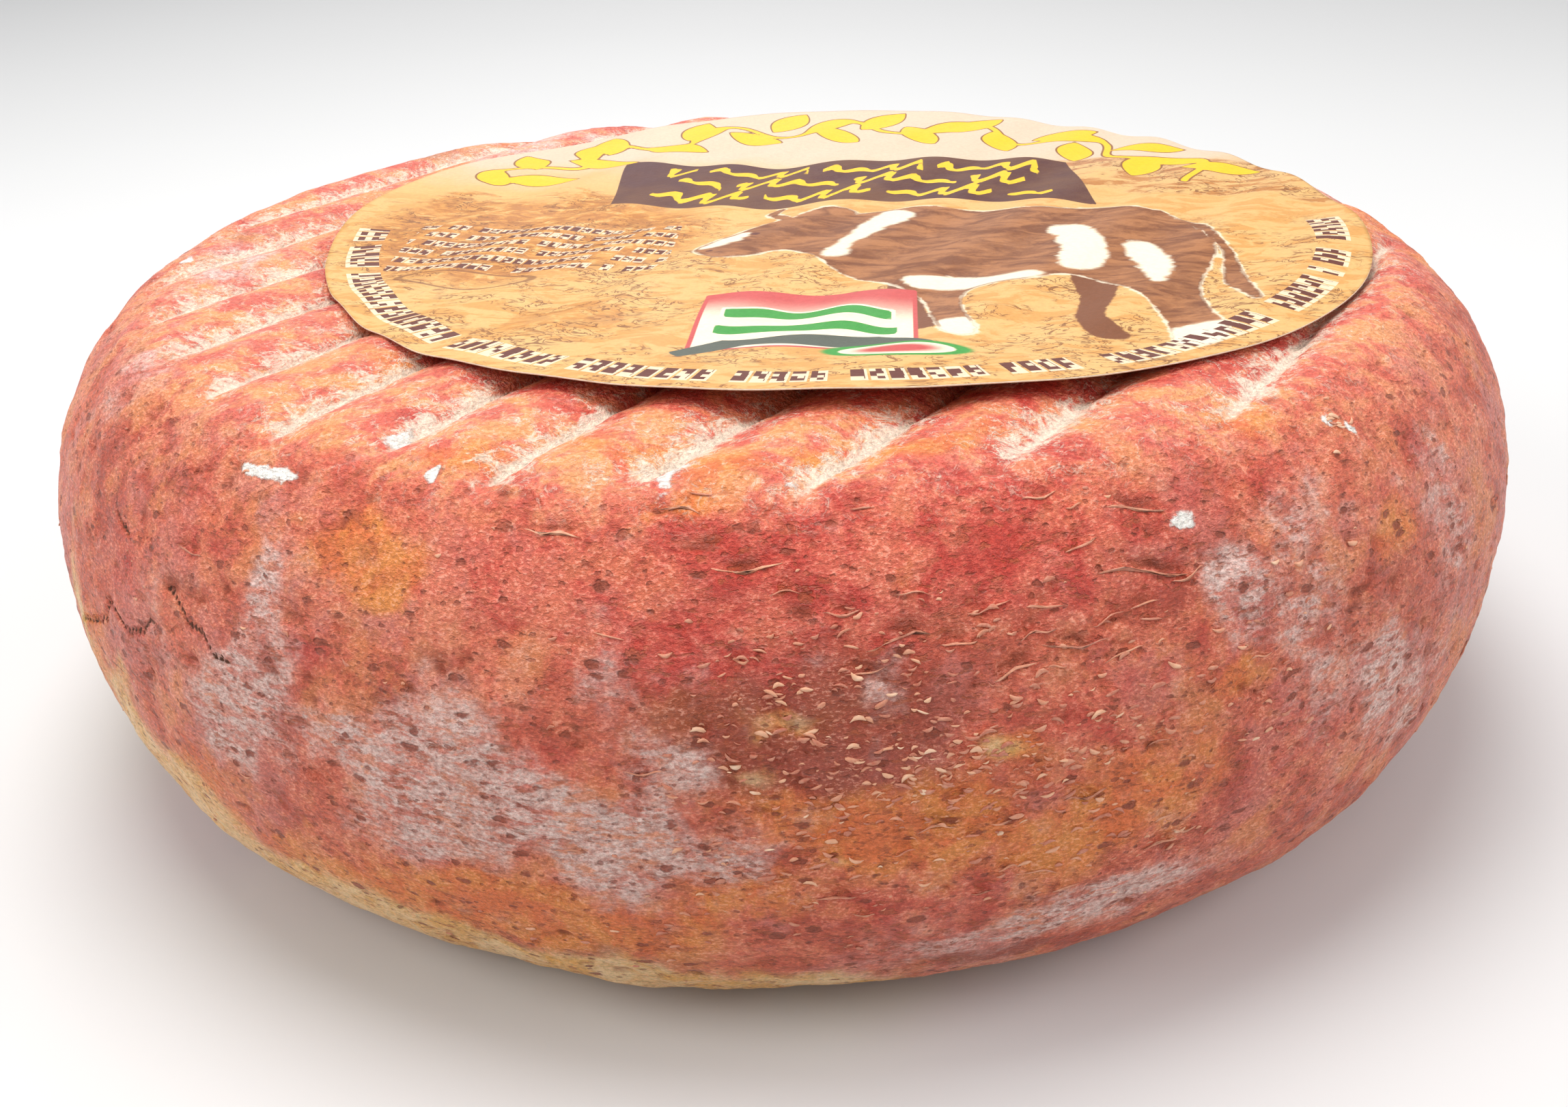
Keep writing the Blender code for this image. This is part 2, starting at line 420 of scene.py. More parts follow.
outlineDown, outlineRadius, outlineHeight = rindOutline()
topEdge, baseFlat = rindShape["topFlat"], rindShape["baseFlat"]
rindEnd = outlineDown[-1]
baseEdge = rindEnd - baseFlat


# where a direction and a distance down the rind lie in space
def onRind(direction, down):
    turn = np.radians(direction)
    radius = np.interp(down, outlineDown, outlineRadius)
    height = np.interp(down, outlineDown, outlineHeight)
    return np.stack([radius * np.cos(turn), radius * np.sin(turn), height + 0 * turn], -1)


def rindNormal(direction, down):
    turn = np.radians(direction)
    ahead, fall = (np.interp(down + 0.5, outlineDown, line) - np.interp(down - 0.5, outlineDown, line)
                   for line in (outlineRadius, outlineHeight))
    size = np.hypot(ahead, fall)
    return np.stack([-fall / size * np.cos(turn), -fall / size * np.sin(turn), ahead / size], -1)


# the angle swept round the side, from 0 at the edge of the top to a half turn at the base
def sideSweep(radius, height):
    belly = rindShape["belly"]
    upper = np.arctan2(np.clip(radius - topEdge, 0, None) / (wheelRadius - topEdge),
                       np.clip(height - belly, 0, None) / (wheelHeight - belly))
    lower = math.pi - np.arctan2(np.clip(radius - baseFlat, 0, None) / (wheelRadius - baseFlat),
                                 np.clip(belly - height, 0, None) / belly)
    return np.where(height >= belly, upper, lower)


# the opposite of onRind: direction and distance down for points on or near the plain wheel
def rindPlace(points):
    radius, height = np.hypot(points[:, 0], points[:, 1]), points[:, 2]
    lineSweep = sideSweep(outlineRadius, outlineHeight)
    down = np.interp(sideSweep(radius, height), lineSweep[1:-1], outlineDown[1:-1])
    down = np.where((height > wheelHeight - 0.01) & (radius < topEdge), radius, down)
    down = np.where((height < 0.01) & (radius < baseFlat), rindEnd - radius, down)
    return np.degrees(np.arctan2(points[:, 1], points[:, 0])), down


# how far each point is from a place on the rind, along it and down it, in millimetres
def offsets(direction, down, radius, place):
    turn = (direction - place[0] + 180) % 360 - 180
    return np.radians(turn) * np.maximum(radius, 20), down - place[1]


def stainFields(direction, down, radius, points):
    rng = random.Random(11)
    sideways = 5.0 * wobble(points, 19.0, 3, 2.0) + 2.0 * wobble(points, 6.0, 2, 12.0)
    downward = 4.0 * wobble(points, 15.0, 3, 8.0) + 1.6 * wobble(points, 6.0, 2, 15.0)
    fields = {}
    for name, painted in rindStains.items():
        count, strength, spans = strayStains[name]
        chalk = name == "chalk"
        stains = list(painted)
        for _ in range(count):
            place, low, wide, tall = (rng.uniform(*span) for span in ((-12, 194), *spans))
            if chalk:
                low = rng.uniform(104, 150)  # only high on the side
            stains.append((place, low, wide, tall, strength * rng.uniform(0.6, 1.1)))
        bend = 0.25 if chalk else 1.0
        total = np.zeros(len(down))
        for place in stains:
            along, fall = offsets(direction, down, radius, place)
            total += place[4] * np.exp(-0.7 * (((along + bend * sideways) / place[2]) ** 2
                                               + ((fall + bend * downward) / place[3]) ** 2))
        fields[name] = np.clip(total, 0, 1.2)
    return fields


# finer faces where a crack needs them
def refine(bm, places, reach):
    tree = searchTree([face.calc_center_median() for face in bm.faces])
    bm.faces.ensure_lookup_table()
    edges = set()
    for place in places:
        for _, index, _ in tree.find_range(Vector(onRind(*place)), reach):
            edges.update(bm.faces[index].edges)
    bmesh.ops.subdivide_edges(bm, edges=list(edges), cuts=2, use_grid_fill=True)


def crackLine(crack, step=0.4):
    places = []
    for start, end in zip(crack, crack[1:]):
        length = (Vector(onRind(*end)) - Vector(onRind(*start))).length
        for index in range(max(1, int(length / step))):
            share = index * step / length
            jog = 0.35 * math.sin(index * 2.1 + start[1])
            places.append((start[0] + (end[0] - start[0]) * share + jog * 0.4,
                           start[1] + (end[1] - start[1]) * share + jog))
    return places


# the lands and creases that the rack pressed into the top, and the distance to the nearest crease
def creaseFields(points):
    bend = wobble(points, 34.0, 2, 5.0) * 1.3
    away = markDistance(points[:, 0], points[:, 1], rack["angle"], rack["start"], rack["pitch"]) + bend
    land = -np.cos(2 * math.pi * away / rack["pitch"])
    crease = np.exp(-(away / rindShape["creaseWidth"]) ** 2)
    return land, crease, away


# a flat grid rolled round into the wheel's skin, welded along the seam and in the two middles
def wrapRind():
    shape = rindShape
    rings = np.concatenate([
        np.linspace(0, shape["labelledRadius"], shape["innerRings"], endpoint=False),
        np.linspace(shape["labelledRadius"], topEdge + 6, shape["topRings"], endpoint=False),
        np.linspace(topEdge + 6, baseEdge, shape["sideRings"], endpoint=False),
        np.linspace(baseEdge, rindEnd, shape["baseRings"])])
    bm = bmesh.new()
    bmesh.ops.create_grid(bm, x_segments=shape["turns"], y_segments=len(rings) - 1, size=1.0)
    mesh = newMesh(bm, "skin")
    square = readPoints(mesh)
    turn = math.pi * square[:, 0]
    turn = turn - shape["frontShare"] * np.sin(turn + math.pi / 2)
    down = rings[np.rint((square[:, 1] + 1) / 2 * (len(rings) - 1)).astype(int)]
    mesh.vertices.foreach_set("co", onRind(np.degrees(turn), down).ravel())
    bm = bmesh.new()
    bm.from_mesh(mesh)
    bpy.data.meshes.remove(mesh)
    bmesh.ops.remove_doubles(bm, verts=bm.verts[:], dist=0.001)
    bmesh.ops.recalc_face_normals(bm, faces=bm.faces[:])
    return bm


# every flake on the rind: direction, distance down, length
def flakePlaces():
    rng = random.Random(21)
    places = list(rindMarks["flakes"])
    for index in range(rindMarks["strayFlakes"]):
        direction = rng.uniform(-180, 180) if index % 2 else rng.gauss(-80, 13)  # every other one in front
        places.append((direction, rng.uniform(124, 188), rng.uniform(2.0, 5.5)))
    return places


# how far down the rind a flake wanders along its length
def flakeCurve(place, along):
    direction, down, length = place
    return 0.06 * length * np.sin(along * 5.0 / length + direction) + 0.2 * np.sin(along * 1.5 + down * 3) \
        + 0.16 * math.sin(direction * 3 + down) * along


def buildRind(material):
    shape = rindShape
    bm = wrapRind()
    cracks = [crackLine(crack) for crack in rindMarks["cracks"]]
    refine(bm, [place for line in cracks for place in line[::3]], 2.0)
    mesh = newMesh(bm, "cheese_rind")
    direction, down = rindPlace(readPoints(mesh))
    base, normal = onRind(direction, down), rindNormal(direction, down)
    radius = np.hypot(base[:, 0], base[:, 1])
    print("rind wrapped", len(base), "points")

    side = smoothStep(112, 128, down) * smoothStep(baseEdge + 6, baseEdge - 8, down)
    fromLabel = np.hypot(base[:, 0] - labelX, base[:, 1] - labelY)
    labelled = smoothStep(labelRadius + 3, labelRadius - 4, fromLabel) * (down < 125)
    lumps = wobble(base, 13.0, 3, 3.0)
    grain = wobble(base * (1, 1, 1.5), 3.6, 2, 9.0)
    rise = shape["swell"] * wobble(base, 48.0, 2) * side \
        + shape["lumps"] * lumps * (0.35 + 0.65 * side) * (1 - 0.8 * labelled)
    fine = shape["grain"] * grain * (1 - 0.7 * labelled)

    # top: domed lands between creases that run out over the shoulder
    land, crease, away = creaseFields(base)
    end = shape["creaseEnd"] + 4 * wobble(base, 22.0, 2, 7.0) + 9 * smoothStep(-30, 60, base[:, 1])
    onTop = smoothStep(4, -9, down - end)
    ragged = 0.75 + 0.5 * wobble(base, 9.0, 2, 4.0)
    groove = shape["grooveDepth"] * np.exp(-(away / shape["grooveWidth"]) ** 2)
    topRise = shape["landRise"] * (land - 1) - groove - shape["creaseDepth"] * crease * ragged
    rise = rise + topRise * onTop - shape["labelDip"] * labelled
    # base: shallow marks of the rack it stood on
    underAway = markDistance(base[:, 0], base[:, 1], rack["baseAngle"], rack["pitch"] / 2, rack["pitch"])
    onBase = smoothStep(baseEdge - 2, baseEdge + 6, down)
    underMark = onBase * shape["baseMarkRise"] * np.exp(-(underAway / shape["baseMarkWidth"]) ** 2)

    # small marks: pits, dents, holes, hollows above the flakes, and cracks
    tree = searchTree(base)
    pit, gape = np.zeros(len(base)), np.zeros(len(base))
    rng = random.Random(4)

    # keeps the deepest of the marks at each point: depthAt gives one mark's depth from its offsets
    def press(field, place, reach, depthAt):
        found = np.array([index for _, index, _ in tree.find_range(Vector(onRind(*place[:2])), reach)], int)
        if len(found):
            along, fall = offsets(direction[found], down[found], radius[found], place)
            np.maximum.at(field, found, depthAt(along, fall))

    def dip(place, wide, tall, depth):
        press(pit, place, wide * 2,
              lambda along, fall: np.exp(-((along / wide) ** 2 + (fall / tall) ** 2) * 1.2) * depth)

    def hollow(place):
        length = place[2]
        press(pit, place, length * 0.7 + 2,
              lambda along, fall: np.clip(1 - (along / (length * 0.55)) ** 2, 0, 1)
              * np.exp(-((fall - flakeCurve(place, along) + 1.2) / 0.9) ** 2) * min(0.8, 0.3 + length * 0.05))

    for _ in range(rindMarks["pits"]):
        place = (rng.uniform(-180, 180), rng.uniform(118, 222))
        wide = rng.uniform(0.8, 1.7)
        dip(place, wide, wide * rng.uniform(0.45, 0.75), rng.uniform(0.25, 0.7))
    for _ in range(rindMarks["dents"]):
        place = (rng.uniform(-180, 180), rng.uniform(120, 215))
        dip(place, rng.uniform(2.0, 4.0), rng.uniform(0.8, 1.6), rng.uniform(0.3, 0.7))
    for hole in rindMarks["holes"]:
        dip(hole, *hole[2:])
    for place in flakePlaces():
        hollow(place)
    for line in cracks:
        for place in line:
            press(gape, place, 1.6, lambda along, fall: np.exp(-(along ** 2 + fall ** 2) / 0.11))

    rise = rise + fine - pit - shape["crackDepth"] * gape
    moved = base + normal * (rise * (1 - onBase))[:, None]
    moved[:, 2] += underMark
    moved[:, 2] = np.where(down > baseEdge - 30, np.maximum(moved[:, 2], 0.0), moved[:, 2])
    writePoints(mesh, moved)

    stains = stainFields(direction, down, radius, base)
    # painted shade under the label: the rind there is laid darker red and its pale mould thinned
    underLabelShade = smoothStep(labelRadius + 7, labelRadius, fromLabel)
    stains["crimson"] = np.maximum(stains["crimson"], 1.1 * underLabelShade * onTop)  # painted shade: darker red under the label
    bare = onTop * (1 - 0.8 * labelled)
    writeFields(mesh, {
        **stains,
        "crease": np.clip(crease * bare * (0.75 + 0.5 * ragged), 0, 1.3),
        "fuzz": np.exp(-(away / shape["fuzzWidth"]) ** 2) * bare,
        "topZone": smoothStep(136, 116, down),
        # how deep each point lies in its marks and between the lumps, laid on as painted shade in the hollows
        "pit": np.clip(pit - 0.2 * lumps - 0.5 * grain * side, -1, 1.5),
        "crack": gape,
    })
    mesh.shade_smooth()
    print("rind shaped", len(mesh.polygons), "faces")
    return addObject("cheese_rind", mesh, material)


rindColours = {
    "coralDark": (0.49, 0.068, 0.030), "coral": (0.73, 0.148, 0.074), "salmon": (0.84, 0.26, 0.13),
    "tan": (0.79, 0.25, 0.080), "mauve": (0.68, 0.19, 0.145), "crimson": (0.57, 0.046, 0.026),
    "crimsonPink": (0.78, 0.125, 0.080), "ochre": (0.80, 0.18, 0.038), "ochreYellow": (0.86, 0.29, 0.050),
    "brown": (0.32, 0.040, 0.013), "cream": (0.83, 0.42, 0.11), "creamPale": (0.93, 0.63, 0.32),
    "bloom": (0.62, 0.29, 0.23), "bloomPale": (0.92, 0.68, 0.61), "chalk": (0.94, 0.89, 0.82),
    # poreAndHollowShade: the pores' own brown, also used for the painted shade in the hollows
    "topPink": (0.86, 0.25, 0.13), "topOrange": (0.92, 0.38, 0.13), "poreAndHollowShade": (0.30, 0.048, 0.016),
    "dust": (0.92, 0.50, 0.37), "crack": (0.13, 0.040, 0.016), "mould": (0.97, 0.77, 0.61),
    "scar": (0.42, 0.085, 0.022),
}


def rindMaterial(stainGroup, grainGroup, poreGroup):
    material, tree, coords = newMaterial("natural rind")
    c = rindColours
    flat = stretch(tree, coords, 1, 1, 1.8)  # patterns on the side run longer sideways
    cloud = speckle(tree, coords, 28, 5, 0.6)
    clump = speckle(tree, coords, 8, 6, 0.70, 0.5)
    fleck = speckle(tree, flat, 1.9, 4, 0.70)
    grit = speckle(tree, flat, 0.75, 2, 0.70)
    grain = useGroup(tree, grainGroup, Vector=flat, Scale=1 / (1.0 * mm))
    patches = addNode(tree, "TexNoise", None, Vector=coords, Scale=1 / (16 * mm), Detail=6.0, Roughness=0.68)
    patches = addNode(tree, "SeparateColor", None, Color=patches.outputs["Color"]).outputs
    topZone = readField(tree, "topZone")

    # how fully a stain covers, from its painted field and a ragged edge
    def stain(name, size, ragged, softness):
        return useGroup(tree, stainGroup, Vector=coords, Amount=readField(tree, name),
                        Scale=1 / (size * mm), Ragged=ragged, Softness=softness)["Mask"]

    def pores(size, share):
        return useGroup(tree, poreGroup, Vector=flat, Scale=1 / (size * mm), Share=share)["Mask"]

    def tint(*stops):
        return ramp(tree, clump, [(place, c[name]) for place, name in stops])

    thin = fade(tree, clump, 0.38, 0.60, 1.0, 0.55)
    bloom = stain("bloom", 7, 2.0, 0.42)
    lace = fade(tree, speckle(tree, stretch(tree, coords, 1, 1, 2.8), 4.5, 5, 0.68), 0.41, 0.54, 0.3, 1.0)
    # short rusty scars lying along the side
    scar = speckle(tree, stretch(tree, coords, 1, 1, 2.6), 2.6, 3, 0.6, 0.4)
    side = calc(tree, "SUBTRACT", 1.0, topZone)
    scars = times(tree, fade(tree, scar, 0.56, 0.63), fade(tree, clump, 0.44, 0.56, 0.95, 0.25),
                  calc(tree, "MULTIPLY_ADD", side, 0.75, 0.15))
    # pores, mostly on the side
    bare = calc(tree, "MULTIPLY_ADD", topZone, -0.75, 0.95)
    dots = times(tree, calc(tree, "MAXIMUM", pores(4.4, 0.66), times(tree, pores(2.1, 0.6), 0.75)), bare)
    # pale mould along the creases of the top, thinning out over the lands as a fine web
    crease = calc(tree, "MULTIPLY_ADD", clump, 1.2, calc(tree, "SUBTRACT", readField(tree, "crease"), 0.80))
    spread = calc(tree, "MULTIPLY_ADD", readField(tree, "fuzz"), 0.22,
                  speckle(tree, coords, 5.0, 6, 0.74, 1.2))
    web = times(tree, threads(tree, speckle(tree, coords, 3.6, 4, 0.6, 1.4), 0.006, 0.034),
                fade(tree, spread, 0.46, 0.62))
    chalk = stain("chalk", 1.8, 1.6, 0.16)

    ground = addUp(tree, (cloud, 0.3), (clump, 0.5), (fleck, 0.2))
    colour = glaze(
        tree, ramp(tree, ground, [(0.42, c["coralDark"]), (0.5, c["coral"]), (0.58, c["salmon"])]),
        (fade(tree, patches[0], 0.50, 0.62, 0.0, 0.75), c["tan"]),
        (fade(tree, patches[1], 0.50, 0.62, 0.0, 0.75), c["mauve"]),
        (times(tree, topZone, 0.85), tint((0.42, "crimsonPink"), (0.49, "topPink"), (0.56, "topOrange"))),
        # stains, from the ground colour up to the mould that lies over it
        # the crimson field also holds the painted shade under the label
        (times(tree, stain("crimson", 11, 1.9, 0.42), thin), tint((0.40, "crimson"), (0.58, "crimsonPink"))),
        (times(tree, stain("brown", 8, 1.8, 0.42), 0.75), c["brown"]),
        (times(tree, stain("ochre", 10, 2.0, 0.30), 0.86), tint((0.42, "ochre"), (0.58, "ochreYellow"))),
        (stain("cream", 9, 1.3, 0.34), tint((0.40, "cream"), (0.60, "creamPale"))),
        # pale dust over the whole rind, and mould bloom in lacy patches
        (times(tree, fade(tree, grit, 0.52, 0.66), fade(tree, clump, 0.40, 0.60, 0.06, 0.38)), c["dust"]),
        (times(tree, bloom, lace), mixColours(tree, grain["Speckle"], c["bloom"], c["bloomPale"])),
        (times(tree, scars, 0.75), c["scar"]),
        (times(tree, dots, 0.9), c["poreAndHollowShade"]),
        (fade(tree, crease, 0.05, 0.5, 0.0, 0.9), c["mould"]),
        (times(tree, fade(tree, spread, 0.595, 0.75), topZone, 0.85), c["mould"]),
        (times(tree, web, topZone, 0.75), c["mould"]),
        (chalk, c["chalk"]),
        # painted shade: darker in the hollows, then the dark cracks
        (fade(tree, readField(tree, "pit"), 0.22, 0.85, 0.0, 0.8), c["poreAndHollowShade"]),
        (fade(tree, readField(tree, "crack"), 0.30, 0.60), c["crack"]))
    # fine grain makes the colour lighter and darker; its lighter specks are partly painted glints
    colour = shade(tree, colour, fade(tree, grit, 0.34, 0.66, 0.84, 1.20))
    rough = calc(tree, "MULTIPLY_ADD", bloom, 0.18, fade(tree, fleck, 0.36, 0.62, 0.33, 0.52))
    height = addUp(tree, (grain["Height"], 0.9), (fleck, 0.8), (grit, 0.9), (dots, -1.0), (scars, -0.5),
                   (web, 0.15), (chalk, 0.4))
    return dress(material, colour, {"Roughness": rough, "Specular IOR Level": 0.5, "Subsurface Weight": 0.05,
                                    "Subsurface Radius": (0.004, 0.0015, 0.0008)}, height, 0.9, 0.9)


crumbSettings = {  # clusters: direction, distance down, spread along, spread down, how many, palest from
    "clusters": [(-86, 156, 14, 6, 150, 0), (-84, 163, 8, 4, 40, 0.1), (-83, 163, 3.5, 1.4, 16, 0.6),
                 (-77, 162, 9, 5, 60, 0.1), (-80, 172, 14, 8, 90, 0), (-88, 168, 10, 6, 60, 0),
                 (-68, 160, 12, 9, 60, 0), (-72, 178, 12, 7, 50, 0), (-85, 145, 14, 4, 50, 0),
                 (-92, 176, 8, 6, 30, 0), (-50.5, 130, 2, 1.5, 10, 0.5), (-58, 150, 10, 8, 30, 0),
                 (-100, 190, 12, 4, 20, 0)],
    "small": 0.18, "large": 0.56, "doublings": 10,
}


def buildCrumbs(rind, material):
    rng = random.Random(8)
    rows = []  # direction, distance down, half length, half width, half height, lean, tint
    for place in flakePlaces():
        rows.append((*place[:2], place[2] / 2, rng.uniform(0.09, 0.17), rng.uniform(0.08, 0.15), 0.0,
                     rng.uniform(0.15, 0.45)))
    flakes = len(rows)
    small, large = crumbSettings["small"], crumbSettings["large"]
    for direction, down, along, fall, count, palest in crumbSettings["clusters"]:
        for _ in range(count):
            size = small + (large - small) * rng.random() ** 1.3
            rows.append((direction + math.degrees(rng.gauss(0, along) / rindShape["sideRadius"]),
                         down + rng.gauss(0, fall), size * rng.uniform(1.1, 2.3),
                         size * rng.uniform(0.35, 0.75), size * 0.4, rng.uniform(-0.5, 0.5),
                         palest + (0.85 - palest) * rng.random() ** 1.8))
    while len(rows) < 2 ** crumbSettings["doublings"]:
        size = rng.uniform(0.15, 0.4)
        rows.append((rng.uniform(-180, 180), rng.uniform(126, 205), size * rng.uniform(1.1, 2.2), size * 0.6,
                     size * 0.4, rng.uniform(-0.5, 0.5), 0.7 * rng.random() ** 1.5))
    rows = np.array(rows)

    # one small ball, doubled until there is one for every crumb, and each made uneven
    mesh = bpy.data.meshes.new("rind_crumbs")
    bm = bmesh.new()
    bmesh.ops.create_icosphere(bm, subdivisions=2, radius=1.0)
    bm.to_mesh(mesh)
    for _ in range(crumbSettings["doublings"]):
        bm.from_mesh(mesh)
        bm.to_mesh(mesh)
    bm.free()
    balls = readPoints(mesh).reshape(len(rows), -1, 3)
    for index, ball in enumerate(balls):
        shift = Vector((index * 1.7, 0, index * 0.9))
        ball *= np.array([[1 + 0.45 * noise.noise(Vector(point) * 1.3 + shift)] for point in ball])

    # each ball is squashed, and stood on the rind where the rind really is
    tree = searchTree(readPoints(rind.data) / mm)

    def onSkin(places):
        return np.array([tree.find(Vector(place))[0] for place in places])

    plain = onRind(rows[:, 0], rows[:, 1])
    rise = ((onSkin(plain) - plain) * rindNormal(rows[:, 0], rows[:, 1])).sum(axis=1)
    along = balls[:, :, 0] * rows[:, 2:3]
    bend = np.sin(np.arange(len(rows)) * 2.4)[:, None] * 0.45 / rows[:, 2:3]  # most are small crescents
    bend[:flakes] = 0
    fall = balls[:, :, 1] * rows[:, 3:4] + bend * along ** 2
    up = (balls[:, :, 2] + 0.3) * rows[:, 4:5] + rise[:, None]
    for index in range(flakes):
        fall[index] += flakeCurve(tuple(rows[index, :2]) + (rows[index, 2] * 2,), along[index])
        place = (rows[index, 0] + np.degrees(along[index] / rindShape["sideRadius"]),
                 rows[index, 1] + fall[index])
        spots = onRind(*place)
        above = ((onSkin(spots) - spots) * rindNormal(*place)).sum(axis=1)
        up[index] += (above - rise[index]) * 0.7 + 0.1
    lean = rows[:, 5:6]
    along, fall = along * np.cos(lean) - fall * np.sin(lean), along * np.sin(lean) + fall * np.cos(lean)
    radius = np.interp(rows[:, 1], outlineDown, outlineRadius)[:, None]
    direction = (rows[:, 0:1] + np.degrees(along / radius)).ravel()
    down = (rows[:, 1:2] + fall).ravel()
    writePoints(mesh, onRind(direction, down) + rindNormal(direction, down) * up.ravel()[:, None])
    writeFields(mesh, {"tint": np.repeat(rows[:, 6], balls.shape[1])})
    mesh.shade_smooth()
    print("crumbs scattered", len(rows))
    return addObject("rind_crumbs", mesh, material)


def crumbMaterial(grainGroup):
    material, tree, coords = newMaterial("dried crumb")
    grain = useGroup(tree, grainGroup, Vector=coords, Scale=1 / (0.9 * mm))
    tint = jostle(tree, readField(tree, "tint"), speckle(tree, coords, 4, 3, 0.6), 1.2)
    colour = ramp(tree, tint, [(0.10, (0.50, 0.13, 0.07)), (0.45, (0.68, 0.26, 0.14)),
                               (0.75, (0.80, 0.42, 0.24)), (1.0, (0.88, 0.63, 0.44))])
    colour = glaze(tree, colour, (times(tree, grain["Speckle"], 0.3), (0.84, 0.54, 0.38)))
    return dress(material, colour, {"Roughness": 0.5, "Subsurface Weight": 0.05}, grain["Height"], 0.6, 0.4)


paperShape = {
    "cells": 210, "thickness": 0.25, "gap": 0.3, "sag": 1.0, "flatShare": 0.62, "turned": -5.0, "waves": 0.3,
    # direction in which the edge curls up, half width of the curl, height at the edge
    "curls": [(264, 32, 3.0), (166, 24, 2.2), (88, 26, 1.7)],
}


# height of the paper over the cheese's lands, at a point measured from the label's middle
def paperHeight(x, y):
    away = markDistance(x + labelX, y + labelY, rack["angle"], rack["start"], rack["pitch"])
    share = np.hypot(x, y) / labelRadius
    direction = np.degrees(np.arctan2(y, x))
    outward = np.clip((share - paperShape["flatShare"]) / (1 - paperShape["flatShare"]), 0, None)
    curl = 0 * x
    for middle, halfWidth, height in paperShape["curls"]:
        turn = ((direction - middle + 180) % 360 - 180) / halfWidth
        curl = curl + height * outward ** 2 * np.exp(-turn * turn)
    taut = 1 - 0.85 * np.clip(curl / 1.2, 0, 1)  # where it curls up it no longer follows the creases
    rise = paperShape["gap"] - taut * paperShape["sag"] * (1 + np.cos(2 * math.pi * away / rack["pitch"])) / 2
    rise = rise + paperShape["waves"] * np.sin(x / 13 + y / 31 + 1) * np.sin(y / 12 - x / 40)
    return wheelHeight + rise + curl


# signed distance to a closed outline, negative inside
def outlineDistance(x, y, outline):
    ends = np.roll(outline, -1, axis=0)
    nearest = np.full(len(x), 1e9)
    inside = np.zeros(len(x), bool)
    for (ax, ay), (bx, by) in zip(outline, ends):
        length = (bx - ax) ** 2 + (by - ay) ** 2
        along = np.clip(((x - ax) * (bx - ax) + (y - ay) * (by - ay)) / length, 0, 1)
        nearest = np.minimum(nearest, np.hypot(x - ax - along * (bx - ax), y - ay - along * (by - ay)))
        crosses = (ay > y) != (by > y)
        inside ^= crosses & (x < ax + (y - ay) * (bx - ax) / np.where(by == ay, 1e-9, by - ay))
    return np.where(inside, -nearest, nearest)


# a soft outline through a few points
def rounded(points, steps=6):
    points = np.array(points, float)
    out = []
    for before, start, end, after in zip(np.roll(points, 1, 0), points, np.roll(points, -1, 0),
                                         np.roll(points, -2, 0)):
        for t in np.arange(steps) / steps:
            out.append(start + 0.5 * ((end - before) * t + (2 * before - 5 * start + 4 * end - after) * t * t
                                      + (3 * start - before - 3 * end + after) * t ** 3))
    return np.array(out)


# distance to an open line minus its half width, which can change along it
def strokeDistance(x, y, points, halfWidths):
    nearest = np.full(len(x), 1e9)
    for (ax, ay), (bx, by), wa, wb in zip(points, points[1:], halfWidths, halfWidths[1:]):
        length = max((bx - ax) ** 2 + (by - ay) ** 2, 1e-9)
        along = np.clip(((x - ax) * (bx - ax) + (y - ay) * (by - ay)) / length, 0, 1)
        away = np.hypot(x - ax - along * (bx - ax), y - ay - along * (by - ay))
        nearest = np.minimum(nearest, away - wa - along * (wb - wa))
    return nearest


